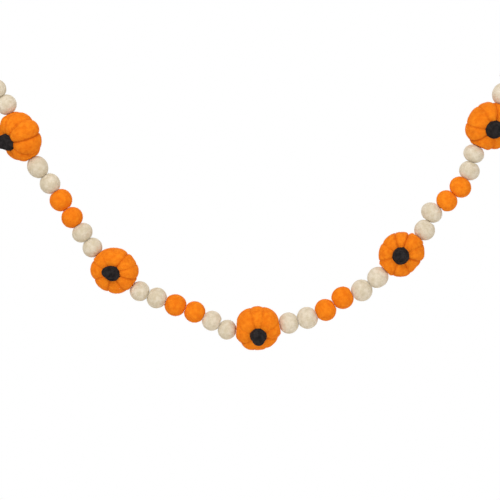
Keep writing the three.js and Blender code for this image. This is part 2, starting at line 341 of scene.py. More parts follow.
class GarlandString(bpy.types.PropertyGroup):
    """Sizes of the string, its knots and its loops"""

    radius: millimetres("Radius", "Radius of the twisted string", 0.7)
    twist_length: millimetres("Twist Length", "Length of one full turn of the plies", 5)
    hang_span: millimetres("Hanging Span", "Distance between the tops of the two loops", 686)
    loop_length: millimetres("Loop Length", "From a loop's top to its knot's middle", 22)
    loop_width: millimetres("Loop Width", "Width of a loop", 9)
    leg_spread: millimetres("Leg Spread", "Distance between a loop's legs at the knot", 1.9)
    knot_length: millimetres("Knot Length", "Length of a knot along the string", 6)
    knot_width: millimetres("Knot Width", "Width of a knot", 4.6)


class GarlandStage(bpy.types.PropertyGroup):
    """Camera, floor and light"""

    view_width: millimetres("View Width", "Width that the camera sees at the string", 600)
    view_across: millimetres("View Across", "Where the middle of the view is along the swag", 350.5)
    view_down: millimetres("View Down", "How far the middle of the view is below the loops", 272.5)
    distance: millimetres("Camera Distance", "From the camera to the string", 6000)
    floor_down: millimetres("Floor Down", "How far the floor is below the loops", 620)


class GarlandColours(bpy.types.PropertyGroup):
    """Colours of the wool and cotton"""

    ivory: hex_colour("Ivory Wool", "The undyed wool of the pale balls", "#e7dbc7")
    ivory_shade: hex_colour("Ivory Shade", "The darker flecks of the pale wool", "#cebfa3")
    orange: hex_colour("Orange Wool", "The dyed wool of balls and pumpkins", "#fa8d1c")
    orange_shade: hex_colour("Orange Shade", "The darker flecks of the orange wool", "#e6720f")
    # Painted shade: this darker orange is mixed into the creases and the needle's dents in place of the shade
    # that falls there
    crease: hex_colour("Crease Orange", "The wool at the bottom of a crease", "#b84c06")
    black: hex_colour("Black Wool", "The dyed wool of the stems", "#131112")
    black_shade: hex_colour("Black Shade", "The paler flecks of the black wool", "#322f2f")
    cotton: hex_colour("Cotton", "The string", "#ece3d2")
    paper: hex_colour("Paper", "The floor", "#f4f3f0")


# Where things sit on the string


class Seat:
    """Where a bead sits, in metres and radians: its bore's middle, slope and half length, its flats' tilts
    and its middle's rise above the bore. Its matrix leads from its own frame, with X to the front, Y along
    the string and Z to the string's upper side, to the row's."""

    def __init__(self, bead, before, start, end, after):
        span = end - start
        self.middle = (start + end) / 2
        self.slope = math.atan2(span.y, span.x)
        self.half_length = span.length / 2
        self.entry_tilt = half_turn(self.slope, before)
        self.exit_tilt = half_turn(self.slope, after)
        sine, cosine = math.sin(self.slope), math.cos(self.slope)
        upward = Vector((-sine, cosine))
        self.offset = (Vector((bead["across"], -bead["down"])) * MM - self.middle).dot(upward)
        turn = Matrix(((0, cosine, -sine), (-1, 0, 0), (0, sine, cosine))).to_4x4()
        self.matrix = Matrix.Translation((self.middle.x, 0, self.middle.y)) @ turn

    def flats(self, upward, gap):
        """The lowest and highest place along the string between the flats, at heights above the bore."""
        low = -self.half_length - upward * math.tan(self.entry_tilt) + gap / 2 / math.cos(self.entry_tilt)
        high = self.half_length - upward * math.tan(self.exit_tilt) - gap / 2 / math.cos(self.exit_tilt)
        return low, high


def half_turn(start, end):
    """Half the way from one slope to another, the short way round."""
    return math.atan2(math.sin(end - start), math.cos(end - start)) / 2


def meeting_points():
    """The points where neighbouring beads meet on the string, and its two outer ends."""
    middles = [Vector((b["across"], -b["down"])) * MM for b in BEADS]
    points = []
    for i in range(1, len(BEADS)):
        share = BEADS[i - 1]["width"] / (BEADS[i - 1]["width"] + BEADS[i]["width"])
        points.append(middles[i - 1].lerp(middles[i], share))
    return [middles[0] * 2 - points[0], *points, middles[-1] * 2 - points[-1]]


def seats():
    """Every bead's seat, from left to right."""
    points = meeting_points()
    spans = [b - a for a, b in zip(points, points[1:])]
    slopes = [math.atan2(s.y, s.x) for s in spans]
    last = len(slopes) - 1
    return [Seat(bead, slopes[max(i - 1, 0)], points[i], points[i + 1], slopes[min(i + 1, last)])
            for i, bead in enumerate(BEADS)]


def threaded(pumpkins):
    """The pumpkins, or else the balls, from left to right: each one's number, its place among all the beads,
    which seeds its unevenness, its record and its seat."""
    chosen = [(place, bead, seat) for place, (bead, seat) in enumerate(zip(BEADS, seats()))
              if (bead["kind"] == "pumpkin") == pumpkins]
    return [(number, *row) for number, row in enumerate(chosen, 1)]


def facing(bead):
    """How a pumpkin is turned down from the front and threaded askew."""
    return (Matrix.Rotation(math.radians(bead["turn"]), 4, "Y")
            @ Matrix.Rotation(math.radians(bead["askew"]), 4, "Z"))


def unevenness(points, seed):
    """Hand-rolled felt is never quite round: a slow wave over the surface, different for each bead."""
    directions = points / np.linalg.norm(points, axis=1)[:, None]
    waves = [np.sin(wave["per_radius"] * axis + wave["per_bead"] * seed)
             for wave, axis in zip(SURFACE_WAVES, directions.T)]
    return sum(waves) / len(waves)


# Modelling helpers


def deselect():
    """Leaves edit mode and deselects everything."""
    if bpy.context.object and bpy.context.object.mode != "OBJECT":
        bpy.ops.object.mode_set(mode="OBJECT")
    bpy.ops.object.select_all(action="DESELECT")


def pick(*pieces):
    """Selects these pieces alone, the last one active."""
    deselect()
    for piece in pieces:
        piece.select_set(True)
    bpy.context.view_layer.objects.active = pieces[-1]


def pick_vertices(piece, wanted):
    """Selects, in edit mode, the vertices whose place passes a test."""
    bpy.ops.mesh.select_all(action="DESELECT")
    bpy.ops.object.mode_set(mode="OBJECT")
    for vertex in piece.data.vertices:
        vertex.select = wanted(vertex.co)
    bpy.ops.object.mode_set(mode="EDIT")


def face_outwards(piece):
    """Turns all of a piece's faces outwards."""
    pick(piece)
    bpy.ops.object.mode_set(mode="EDIT")
    bpy.ops.mesh.select_all(action="SELECT")
    bpy.ops.mesh.normals_make_consistent(inside=False)
    bpy.ops.object.mode_set(mode="OBJECT")


def places(piece):
    """The vertices of a piece as rows of x, y, z."""
    flat = np.empty(len(piece.data.vertices) * 3)
    piece.data.vertices.foreach_get("co", flat)
    return flat.reshape(-1, 3)


def put(piece, points):
    """Moves the vertices of a piece to rows of x, y, z."""
    piece.data.vertices.foreach_set("co", points.ravel())
    piece.data.update()


def paint(piece, name, values):
    """Gives a piece a value at each vertex, for its material to read."""
    attribute = piece.data.attributes.get(name) or piece.data.attributes.new(name, "FLOAT", "POINT")
    attribute.data.foreach_set("value", values.astype(np.float32))


def copy_of(piece, name):
    """A copy with its own mesh."""
    pick(piece)
    bpy.ops.object.duplicate(linked=False)
    twin = bpy.context.object
    twin.name = twin.data.name = name
    return twin


def remove(piece):
    """Deletes a helper object."""
    pick(piece)
    bpy.ops.object.delete()


def apply_modifiers(piece):
    """Applies all of a piece's modifiers."""
    pick(piece)
    for modifier in list(piece.modifiers):
        bpy.ops.object.modifier_apply(modifier=modifier.name)


def cut_away(piece, cutter):
    """Cuts a cutter's space out of a piece, and removes the cutter."""
    modifier = piece.modifiers.new("cut", "BOOLEAN")
    modifier.operation = "DIFFERENCE"
    modifier.solver = "EXACT"
    modifier.object = cutter
    apply_modifiers(piece)
    remove(cutter)


def rough_up(piece, size, height):
    """Raises the small lumps that felting leaves."""
    clouds = bpy.data.textures.new(piece.name + "_nap", "CLOUDS")
    clouds.noise_scale = size
    clouds.noise_depth = 2
    modifier = piece.modifiers.new("nap", "DISPLACE")
    modifier.texture = clouds
    modifier.texture_coords = "LOCAL"
    modifier.mid_level = MIDDLE
    modifier.strength = height
    apply_modifiers(piece)


def sort_faces(piece):
    """Rebuilds a piece from its triangles, in the order of their places. Without this their order, and so the
    fibres on them, would change from run to run."""
    mesh = piece.data
    mesh.calc_loop_triangles()
    corners = np.empty(len(mesh.loop_triangles) * 3, np.int32)
    mesh.loop_triangles.foreach_get("vertices", corners)
    triangles = places(piece)[corners].reshape(-1, 3, 3)
    leftmost = triangles[:, :, 0].argmin(axis=1)
    turned = (leftmost[:, None] + np.arange(3)) % 3
    triangles = np.take_along_axis(triangles, turned[:, :, None], axis=1)
    triangles = triangles[np.lexsort(triangles.reshape(-1, 9).T[::-1])]
    mesh.clear_geometry()
    mesh.from_pydata(triangles.reshape(-1, 3), [], np.arange(triangles.size // 3).reshape(-1, 3))


def press_flat(piece, seat, gap):
    """Clamps a piece, already in place, between the flats where its neighbours press."""
    world = places(piece)
    inverse = np.array(seat.matrix.inverted())
    local = world @ inverse[:3, :3].T + inverse[:3, 3]
    low, high = seat.flats(local[:, 2], gap)
    local[:, 1] = np.clip(local[:, 1], low, high)
    matrix = np.array(seat.matrix)
    put(piece, local @ matrix[:3, :3].T + matrix[:3, 3])


def new_curve(name, points):
    """A new object with a curve in straight steps from point to point, and its spline."""
    curve = bpy.data.curves.new(name, "CURVE")
    curve.dimensions = "3D"
    spline = curve.splines.new("POLY")
    spline.points.add(len(points) - 1)
    for point, place in zip(spline.points, points):
        point.co = (*place, 1)
    piece = bpy.data.objects.new(name, curve)
    bpy.context.scene.collection.objects.link(piece)
    return piece, spline


def finish_piece(piece, material, slot, nodes):
    """Smooths and colours a piece, and says which solids it replaces."""
    pick(piece)
    bpy.ops.object.shade_smooth()
    piece.data.materials.clear()
    piece.data.materials.append(material)
    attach(piece, "root")
    if nodes:
        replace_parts(piece, *nodes)
    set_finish(piece, slot)


# Materials


def add_node(tree, kind, settings=None, values=None, links=None):
    """Adds a node, with its settings, the values of its sockets and the sockets that feed it."""
    node = tree.nodes.new(kind)
    for name, value in (settings or {}).items():
        setattr(node, name, value)
    for name, value in (values or {}).items():
        node.inputs[name].default_value = value
    for name, source in (links or {}).items():
        tree.links.new(source, node.inputs[name])
    return node


def new_material(name):
    """A material, its empty tree and the piece's Object coordinates."""
    material = bpy.data.materials.new(name)
    material.use_nodes = True
    tree = material.node_tree
    tree.nodes.clear()
    return material, tree, add_node(tree, "ShaderNodeTexCoord").outputs["Object"]


def wool_colours(colours, wool):
    """A wool's own colour and its flecks', with alpha."""
    return (*getattr(colours, wool), 1), (*getattr(colours, wool + "_shade"), 1)


def wool_felt(name, colours, wool, sheen, painted_shade_colour=None):
    """Merino wool, wet-felted by hand: a matt surface of matted fibres with a soft halo and faint flecks."""
    material, tree, place = new_material(name)
    base, shade = wool_colours(colours, wool)
    # Tufts of wool take the dye unevenly, over about 5 mm
    tufts = add_node(tree, "ShaderNodeTexNoise",
                     values={"Scale": 1 / (5 * MM), "Detail": 2.0, "Roughness": 0.55},
                     links={"Vector": place}).outputs["Fac"]
    # Matted wool shows as clumps about 1 mm across
    clumps = add_node(tree, "ShaderNodeTexNoise",
                      values={"Scale": 1 / (1.1 * MM), "Detail": 3.0, "Roughness": 0.6, "Distortion": 1.5},
                      links={"Vector": place}).outputs["Fac"]
    # Fibres of 0.02 mm are drawn 0.15 mm wide, so that they show: thin curls where a noise crosses its middle
    curls = add_node(tree, "ShaderNodeTexNoise",
                     values={"Scale": 1 / (1.6 * MM), "Detail": 2.0, "Roughness": 0.5, "Distortion": 2.5},
                     links={"Vector": place}).outputs["Fac"]
    off_middle = add_node(tree, "ShaderNodeMath", {"operation": "SUBTRACT"}, {1: MIDDLE}, {0: curls})
    apart = add_node(tree, "ShaderNodeMath", {"operation": "ABSOLUTE"}, links={0: off_middle.outputs[0]})
    fibres = add_node(tree, "ShaderNodeMapRange",
                      values={"From Min": 0.0, "From Max": 0.045, "To Min": 1.0, "To Max": 0.0},
                      links={"Value": apart.outputs[0]}).outputs[0]
    blend = add_node(tree, "ShaderNodeMath", {"operation": "MULTIPLY_ADD"},
                     {1: CLUMP_TONE}, {0: clumps, 2: tufts})
    lit = add_node(tree, "ShaderNodeMath", {"operation": "MULTIPLY_ADD"},
                   {1: FIBRE_TONE}, {0: fibres, 2: blend.outputs[0]})
    # No two balls take the dye alike
    tone = add_node(tree, "ShaderNodeAttribute", {"attribute_name": "tone"})
    toned = add_node(tree, "ShaderNodeMath", {"operation": "ADD"},
                     links={0: lit.outputs[0], 1: tone.outputs["Fac"]})
    amount = add_node(tree, "ShaderNodeMapRange", values={"From Min": 0.62, "From Max": 1.08},
                      links={"Value": toned.outputs[0]})
    colour = add_node(tree, "ShaderNodeMix", {"data_type": "RGBA"}, {FIRST: shade, SECOND: base},
                      {SHARE: amount.outputs[0]}).outputs[RESULT]
    # Painted shade: where the pumpkin carries painted crease and dent shade, the colour is mixed towards the
    # darker orange
    if painted_shade_colour:
        depth = add_node(tree, "ShaderNodeAttribute", {"attribute_name": "crease"})
        colour = add_node(tree, "ShaderNodeMix", {"data_type": "RGBA"}, {SECOND: (*painted_shade_colour, 1)},
                          {SHARE: depth.outputs["Fac"], FIRST: colour}).outputs[RESULT]
    rough = add_node(tree, "ShaderNodeMapRange", values={"To Min": 0.86, "To Max": 1.0},
                     links={"Value": clumps})
    height = add_node(tree, "ShaderNodeMath", {"operation": "MULTIPLY_ADD"},
                      {1: FIBRE_HEIGHT}, {0: fibres, 2: clumps})
    bump = add_node(tree, "ShaderNodeBump", values={"Strength": 0.75, "Distance": 0.35 * MM},
                    links={"Height": height.outputs[0]})
    shader = add_node(tree, "ShaderNodeBsdfPrincipled",
                      values={"Sheen Weight": sheen, "Sheen Roughness": 0.45, "Sheen Tint": base,
                              "Specular IOR Level": 0.08},
                      links={"Base Color": colour, "Roughness": rough.outputs[0], "Normal": bump.outputs[0]})
    add_node(tree, "ShaderNodeOutputMaterial", links={"Surface": shader.outputs[0]})
    return material


def loose_wool(name, colours, wool):
    """Single wool fibres that stand out of the felt: matt, and a little paler than the mass behind them."""
    material, tree, place = new_material(name)
    base, shade = wool_colours(colours, wool)
    # The fibres keep the colour of their tuft, about 5 mm wide
    tufts = add_node(tree, "ShaderNodeTexNoise", values={"Scale": 1 / (5 * MM), "Detail": 1.0},
                     links={"Vector": place})
    colour = add_node(tree, "ShaderNodeMix", {"data_type": "RGBA"}, {FIRST: shade, SECOND: base},
                      {SHARE: tufts.outputs["Fac"]})
    shader = add_node(tree, "ShaderNodeBsdfPrincipled", values={"Roughness": 0.9, "Specular IOR Level": 0.15},
                      links={"Base Color": colour.outputs[RESULT]})
    add_node(tree, "ShaderNodeOutputMaterial", links={"Surface": shader.outputs[0]})
    return material


def cotton_twine(name, base):
    """Three-ply cotton: matt off-white yarn with fine fibres along each ply."""
    material, tree, place = new_material(name)
    shade = (*[c * COTTON_SHADE for c in base], 1)
    # Yarn fibres of 0.02 mm show as flecks 0.3 mm apart
    fibres = add_node(tree, "ShaderNodeTexNoise", values={"Scale": 1 / (0.3 * MM), "Detail": 2.0},
                      links={"Vector": place})
    colour = add_node(tree, "ShaderNodeMix", {"data_type": "RGBA"}, {FIRST: shade, SECOND: (*base, 1)},
                      {SHARE: fibres.outputs["Fac"]})
    bump = add_node(tree, "ShaderNodeBump", values={"Strength": 0.5, "Distance": 0.1 * MM},
                    links={"Height": fibres.outputs["Fac"]})
    shader = add_node(tree, "ShaderNodeBsdfPrincipled",
                      values={"Roughness": 0.85, "Sheen Weight": 0.2, "Specular IOR Level": 0.2},
                      links={"Base Color": colour.outputs[RESULT], "Normal": bump.outputs[0]})
    add_node(tree, "ShaderNodeOutputMaterial", links={"Surface": shader.outputs[0]})
    return material


def studio_floor(name, base):
    """Matt white paper that fades out before its edge."""
    material, tree, place = new_material(name)
    away = add_node(tree, "ShaderNodeVectorMath", {"operation": "LENGTH"}, links={0: place})
    fade = add_node(tree, "ShaderNodeMapRange", values={"From Min": PAPER_FADE, "From Max": PAPER_GONE},
                    links={"Value": away.outputs["Value"]})
    paper = add_node(tree, "ShaderNodeBsdfPrincipled", values={"Base Color": (*base, 1), "Roughness": 0.9})
    clear = add_node(tree, "ShaderNodeBsdfTransparent")
    mixed = add_node(tree, "ShaderNodeMixShader",
                     links={0: fade.outputs[0], 1: paper.outputs[0], 2: clear.outputs[0]})
    add_node(tree, "ShaderNodeOutputMaterial", links={"Surface": mixed.outputs[0]})
    return material


# Operators


class GARLAND_OT_stage(bpy.types.Operator):
    """Set the camera, the pale floor and the soft studio light"""

    bl_idname = "garland.stage"
    bl_label = "Stage"

    def execute(self, context):
        stage = context.scene.garland_stage
        middle = Vector((stage.view_across, 0, -stage.view_down))
        deselect()
        bpy.ops.object.camera_add(
            location=middle - Vector((0, stage.distance, 0)), rotation=(math.pi / 2, 0, 0))
        camera = context.object
        camera.name = "camera"
        camera.data.sensor_width = SENSOR_WIDTH
        camera.data.lens = SENSOR_WIDTH * stage.distance / stage.view_width
        context.scene.camera = camera
        for row in LIGHTS:
            place = middle + Vector(row["away"])
            toward = (middle - place).to_track_quat("-Z", "Y").to_euler()
            bpy.ops.object.light_add(type="AREA", location=place, rotation=toward)
            light = context.object
            light.name = row["name"]
            light.data.size = row["size"]
            light.data.energy = row["power"]
        deselect()
        bpy.ops.mesh.primitive_circle_add(
            vertices=PAPER_SIDES, radius=PAPER_RADIUS, fill_type="NGON",
            location=(stage.view_across, 0, -stage.floor_down))
        floor = context.object
        floor.name = "floor"
        floor.data.materials.append(studio_floor("white_paper", context.scene.garland_colours.paper))
        self.light_world(context.scene)
        context.scene.view_settings.view_transform = "Standard"
        return {"FINISHED"}

    def light_world(self, scene):
        """White behind everything, and a dimmer even light on the garland."""
        world = bpy.data.worlds.new("studio")
        world.use_nodes = True
        tree = world.node_tree
        tree.nodes.clear()
        seen = add_node(tree, "ShaderNodeBackground", values={"Color": WHITE, "Strength": 1.0})
        shed = add_node(tree, "ShaderNodeBackground", values={"Color": WHITE, "Strength": WORLD_LIGHT})
        path = add_node(tree, "ShaderNodeLightPath")
        mixed = add_node(tree, "ShaderNodeMixShader",
                         links={0: path.outputs["Is Camera Ray"], 1: shed.outputs[0], 2: seen.outputs[0]})
        add_node(tree, "ShaderNodeOutputWorld", links={"Surface": mixed.outputs[0]})
        scene.world = world


class GARLAND_OT_string(bpy.types.Operator):
    """Twist the cotton string, with a knot and a loop at each end"""

    bl_idname = "garland.string"
    bl_label = "String"

    def execute(self, context):
        sizes = context.scene.garland_string
        cotton = cotton_twine("cotton_twine", context.scene.garland_colours.cotton)
        self.outline = self.ply_outline(sizes)
        points = [Vector((p.x, 0, p.y)) for p in meeting_points()]
        run = self.twist("string_run", points, sizes, RUN_STEP)
        finish_piece(run, cotton, "cotton_string", ["string"])
        for side, hang, end in (("left", Vector((0, 0, 0)), points[0]),
                                ("right", Vector((sizes.hang_span, 0, 0)), points[-1])):
            along = (end - hang).normalized()
            knot_middle = hang + along * sizes.loop_length
            knot = self.twist("knot_" + side, self.knot_route(knot_middle, along, sizes), sizes, END_STEP)
            loop = self.twist("loop_" + side, self.loop_route(knot_middle, along, sizes), sizes, END_STEP)
            free = self.twist("string_" + side, [end, knot_middle], sizes, END_STEP)
            for piece in (knot, loop, free):
                finish_piece(piece, cotton, "cotton_string", ["string"])
        remove(self.outline)
        return {"FINISHED"}

    def ply_outline(self, sizes):
        """The outline of the plies laid together, as a closed curve."""
        count = PLIES * PLY_POINTS
        points = []
        for i in range(count):
            angle = 2 * math.pi * i / count
            reach = sizes.radius * (1 - PLY_VALLEY + PLY_VALLEY * abs(math.cos(PLIES / 2 * angle)))
            points.append((reach * math.cos(angle), reach * math.sin(angle), 0))
        outline, spline = new_curve("ply_outline", points)
        spline.use_cyclic_u = True
        return outline

    def loop_route(self, knot, along, sizes):
        """A teardrop from one side of the knot round to the other."""
        aside = Vector((-along.z, 0, along.x))
        start = math.asin(sizes.leg_spread / sizes.loop_width)
        route = []
        for i in range(LOOP_STEPS + 1):
            angle = start + (2 * math.pi - 2 * start) * i / LOOP_STEPS
            back = sizes.loop_length * (1 - math.cos(angle)) / 2
            route.append(knot - along * back + aside * (sizes.loop_width / 2 * math.sin(angle)))
        return route

    def knot_route(self, middle, along, sizes):
        """An overhand knot, pulled tight: a trefoil, which goes through itself three times."""
        aside = Vector((-along.z, 0, along.x))
        front = Vector((0, -1, 0))
        route = []
        for i in range(KNOT_STEPS + 1):
            angle = 2 * math.pi * i / KNOT_STEPS
            wide = (math.sin(angle) + 2 * math.sin(2 * angle)) / 3
            long = (math.cos(angle) - 2 * math.cos(2 * angle)) / 3
            deep = -math.sin(3 * angle)
            route.append(middle + along * (long * (sizes.knot_length / 2 - sizes.radius))
                         + aside * (wide * (sizes.knot_width / 2 - sizes.radius * KNOT_GIVE))
                         + front * (deep * (sizes.knot_width / 2 - sizes.radius)))
        return route

    def twist(self, name, route, sizes, step):
        """A string along a route, with its plies turning about each other."""
        finer = [route[0]]
        for start, end in zip(route, route[1:]):
            count = max(1, round((end - start).length / step))
            finer.extend(start.lerp(end, i / count) for i in range(1, count + 1))
        piece, spline = new_curve(name, finer)
        piece.data.twist_mode = "MINIMUM"
        piece.data.bevel_mode = "OBJECT"
        piece.data.bevel_object = self.outline
        piece.data.use_fill_caps = True
        length = 0
        for i, place in enumerate(finer):
            length += (place - finer[max(i - 1, 0)]).length
            spline.points[i].tilt = 2 * math.pi * length / sizes.twist_length
        pick(piece)
        bpy.ops.object.convert(target="MESH")
        piece = bpy.context.object
        bpy.ops.object.mode_set(mode="EDIT")
        bpy.ops.mesh.select_all(action="SELECT")
        bpy.ops.mesh.remove_doubles(threshold=WELD)
        face_outwards(piece)
        return piece


class GARLAND_OT_balls(bpy.types.Operator):
    """Roll the ivory and orange felt balls"""

    bl_idname = "garland.balls"
    bl_label = "Felt Balls"

    def execute(self, context):
        sizes = context.scene.garland_felt
        colours = context.scene.garland_colours
        felts = {
            "ivory": wool_felt("ivory_wool_felt", colours, "ivory", sheen=0.25),
            "orange": wool_felt("orange_wool_felt", colours, "orange", sheen=0.2),
        }
        blank = self.roll_blank()
        for number, seed, bead, seat in threaded(pumpkins=False):
            ball = copy_of(blank, f"felt_ball_{number:02d}")
            self.fit(ball, bead, seat, seed, sizes)
            finish_piece(ball, felts[bead["kind"]], bead["kind"] + "_felt", [f"ball_{number:02d}"])
        remove(blank)
        return {"FINISHED"}

    def roll_blank(self):
        """A ball of 1 m radius with a hole along Y, to be copied and sized."""
        deselect()
        bpy.ops.mesh.primitive_uv_sphere_add(segments=BALL_SEGMENTS, ring_count=BALL_RINGS, radius=1)
        blank = bpy.context.object
        blank.name = "ball_blank"
        bpy.ops.object.mode_set(mode="EDIT")
        pick_vertices(blank, lambda co: abs(co.z) > 1 - SAME)
        bpy.ops.mesh.delete(type="VERT")
        rim = math.cos(math.pi / BALL_RINGS)
        pick_vertices(blank, lambda co: abs(co.z) > rim - SAME)
        bpy.ops.mesh.bridge_edge_loops()
        bpy.ops.mesh.select_all(action="SELECT")
        bpy.ops.transform.rotate(value=math.pi / 2, orient_axis="X", center_override=(0, 0, 0))
        face_outwards(blank)
        return blank

    def fit(self, ball, bead, seat, seed, sizes):
        """Sizes a ball, makes it uneven, sets it on the string and presses its ends flat."""
        across = bead["width"] * MM / 2
        along = seat.half_length + sizes.ball_press
        points = places(ball)
        rim = np.hypot(points[:, 0], points[:, 2]) < HOLE_RIM
        points *= (across, along, across)
        lump = 1 + sizes.ball_lump * unevenness(points, seed)
        points[~rim] *= lump[~rim, None]
        points[~rim, 2] += seat.offset
        put(ball, points)
        ball.data.transform(seat.matrix)
        rough_up(ball, sizes.nap_size, sizes.nap_height)
        press_flat(ball, seat, sizes.gap)
        tone = sum(wave["height"] * math.sin(wave["per_bead"] * seed + wave["start"]) for wave in TONE_WAVES)
        paint(ball, "tone", np.full(len(points), sizes.ball_tone * tone))


class GARLAND_OT_pumpkins(bpy.types.Operator):
    """Shape the lobed pumpkins and their stems"""

    bl_idname = "garland.pumpkins"
    bl_label = "Felt Pumpkins"

    def execute(self, context):
        sizes = context.scene.garland_felt
        colours = context.scene.garland_colours
        orange = wool_felt("pumpkin_wool_felt", colours, "orange", sheen=0.2, painted_shade_colour=colours.crease)
        black = wool_felt("black_wool_felt", colours, "black", sheen=0.05)
        for number, seed, bead, seat in threaded(pumpkins=True):
            body = self.shape_body(f"felt_pumpkin_{number}", bead, CREASES[number - 1], seat, seed, sizes)
            stem = self.shape_stem(f"felt_stem_{number}", bead, seat, seed, sizes)
            body.data.transform(seat.matrix)
            stem.data.transform(seat.matrix)
            self.dent(body, number)
            rough_up(body, sizes.nap_size, sizes.nap_height)
            rough_up(stem, sizes.nap_size, sizes.nap_height * STEM_NAP)
            press_flat(body, seat, sizes.gap)
            self.seat_stem(stem, body, bead, seat, sizes)
            self.pierce(body, bead, seat, sizes)
            finish_piece(body, orange, "orange_felt", [f"pumpkin_{number}"])
            finish_piece(stem, black, "black_felt", [f"stem_{number}"])
        return {"FINISHED"}

    def shape_body(self, name, bead, creases, seat, seed, sizes):
        """A full, flattened round with a dimple at both poles and soft lobes between sharp creases."""
        deselect()
        segments = len(creases["angles"]) * LOBE_SEGMENTS
        bpy.ops.mesh.primitive_uv_sphere_add(segments=segments, ring_count=PUMPKIN_RINGS, radius=1)
        body = bpy.context.object
        body.name = body.data.name = name
        radius = bead["width"] * MM / 2
        round_points = places(body)
        power = 2 / sizes.pumpkin_fullness
        out = np.hypot(round_points[:, 0], round_points[:, 1]) ** power
        rise = np.sign(round_points[:, 2]) * np.abs(round_points[:, 2]) ** power
        dimple = sizes.dimple_depth * np.exp(-((out / sizes.dimple_radius) ** 2))
        around = np.arctan2(round_points[:, 1], round_points[:, 0])
        angle, press, swell, line, near = self.lobe_places(around, creases)
        points = np.stack([
            radius * sizes.pumpkin_depth * rise * (1 - dimple),
            radius * out * np.sin(angle),
            radius * out * np.cos(angle),
        ], axis=1)
        start = np.minimum(1, out / sizes.crease_start)
        lump = sizes.pumpkin_lump * unevenness(points, seed)
        away = near * radius * out
        cut = np.exp(-((away / (sizes.crease_width / 2)) ** 2)) * start * (FAINTEST_CUT + ADDED_CUT * line)
        points *= (1 - press * start + swell * out + lump - cut * sizes.crease_cut / radius)[:, None]
        points[:, 1] *= (seat.half_length + sizes.pumpkin_press) / radius
        points = points @ np.array(facing(bead).to_3x3()).T
        points[:, 2] += seat.offset
        put(body, points)
        # Painted shade: a darker band along each crease, as strong as its line, strongest at the stem and
        # fading towards the rim
        shade = np.exp(-((away / (sizes.crease_width * SHADE_WIDTH)) ** 2)) * line
        paint(body, "crease", shade * (SHADE_AT_STEM - SHADE_LOSS * out))
        face_outwards(body)
        return body

    def lobe_places(self, around, creases):
        """For angles round the blank: the angle round the pumpkin, the press of the nearer crease, the lobe's
        swell, the sharpness of the crease, which also sets how dark its painted shade is, and the angle to
        it. The points crowd towards the creases."""
        angles = np.array(creases["angles"], float)
        depths, swells, lines = (np.array(creases[key], float) / 100 for key in ("depths", "swells", "lines"))
        # A hair more than the angle, so that the seam's points don't fall into the lobe before it
        place = np.mod(around / (2 * math.pi) + 1e-7, 1) * len(angles)
        start = np.floor(place).astype(int) % len(angles)
        end = (start + 1) % len(angles)
        part = place - np.floor(place)
        part = part - CROWDING * np.sin(2 * math.pi * part) / (2 * math.pi)
        span = np.mod(angles[end] - angles[start], 360)
        press = np.where(part < 0.5, depths[start], depths[end]) * (1 - np.sin(math.pi * part)) ** PRESS_FADE
        swell = swells[start] * np.sin(math.pi * part)
        line = np.where(part < 0.5, lines[start], lines[end])
        near = np.radians(span * np.minimum(part, 1 - part))
        return np.radians(angles[start] + span * part), press, swell, line, near

    def dent(self, body, number):
        """Presses in the places where the needle has dented the front, and paints shade into them."""
        points = places(body)
        shade = np.empty(len(points), np.float32)
        body.data.attributes["crease"].data.foreach_get("value", shade)
        for dent in DENTS:
            if dent["pumpkin"] != number:
                continue
            away = np.hypot(points[:, 0] - dent["across"] * MM, points[:, 2] + dent["down"] * MM)
            press = np.exp(-((away / (dent["width"] * MM / 2)) ** 2)) * (points[:, 1] < -DENT_FRONT)
            points[:, 1] += press * dent["depth"] * MM
            # Painted shade in each dent, darker where it is pressed deeper
            shade = np.maximum(shade, press * dent["depth"] * DENT_SHADE)
        paint(body, "crease", shade)
        put(body, points)

    def shape_stem(self, name, bead, seat, seed, sizes):
        """A tapered stub with faint ridges and a rolled end."""
        deselect()
        top = sizes.stem_length * STEM_OUTLINE[0]["up"]
        # Rounding off draws a ring of points in by a fixed share
        drawn_in = (2 + math.cos(2 * math.pi / STEM_SIDES)) / 3
        radius = bead["stem"] * MM / drawn_in
        bpy.ops.mesh.primitive_cylinder_add(
            vertices=STEM_SIDES, radius=radius, depth=sizes.stem_root + top, end_fill_type="NGON",
            location=(0, 0, (top - sizes.stem_root) / 2))
        stem = bpy.context.object
        stem.name = stem.data.name = name
        bpy.ops.object.transform_apply(location=True, rotation=False, scale=False)
        bpy.ops.object.mode_set(mode="EDIT")
        pick_vertices(stem, lambda co: co.z > top - SAME)
        for low, high in zip(STEM_OUTLINE, STEM_OUTLINE[1:]):
            rise = sizes.stem_length * (high["up"] - low["up"])
            taper = high["out"] / low["out"]
            bpy.ops.mesh.extrude_region_move(TRANSFORM_OT_translate={"value": (0, 0, rise)})
            bpy.ops.transform.resize(value=(taper, taper, 1), center_override=(0, 0, 0))
        bpy.ops.mesh.inset(thickness=radius * STEM_INSET)
        bpy.ops.mesh.poke()
        face_outwards(stem)
        round_off = stem.modifiers.new("round_off", "SUBSURF")
        round_off.levels = round_off.render_levels = 2
        apply_modifiers(stem)
        points = places(stem)
        around = np.arctan2(points[:, 1], points[:, 0])
        reach = np.hypot(points[:, 0], points[:, 1])
        up = points[:, 2] / sizes.stem_length
        ridges = sum(row["height"] * np.cos(row["count"] * around + row["per_bead"] * seed)
                     for row in STEM_RIDGES)
        points[:, :2] *= (1 + ridges)[:, None]
        spiral = np.cos(2 * math.pi * reach / SPIRAL_PITCH - around)
        tip = np.clip((up - SPIRAL_START) / (SPIRAL_FULL - SPIRAL_START), 0, 1)
        points[:, 2] += tip * np.clip(reach / (SPIRAL_PITCH / 2), 0, 1) * spiral * SPIRAL_HEIGHT
        put(stem, points)
        foot = bead["width"] * MM / 2 * sizes.pumpkin_depth * (1 - sizes.dimple_depth)
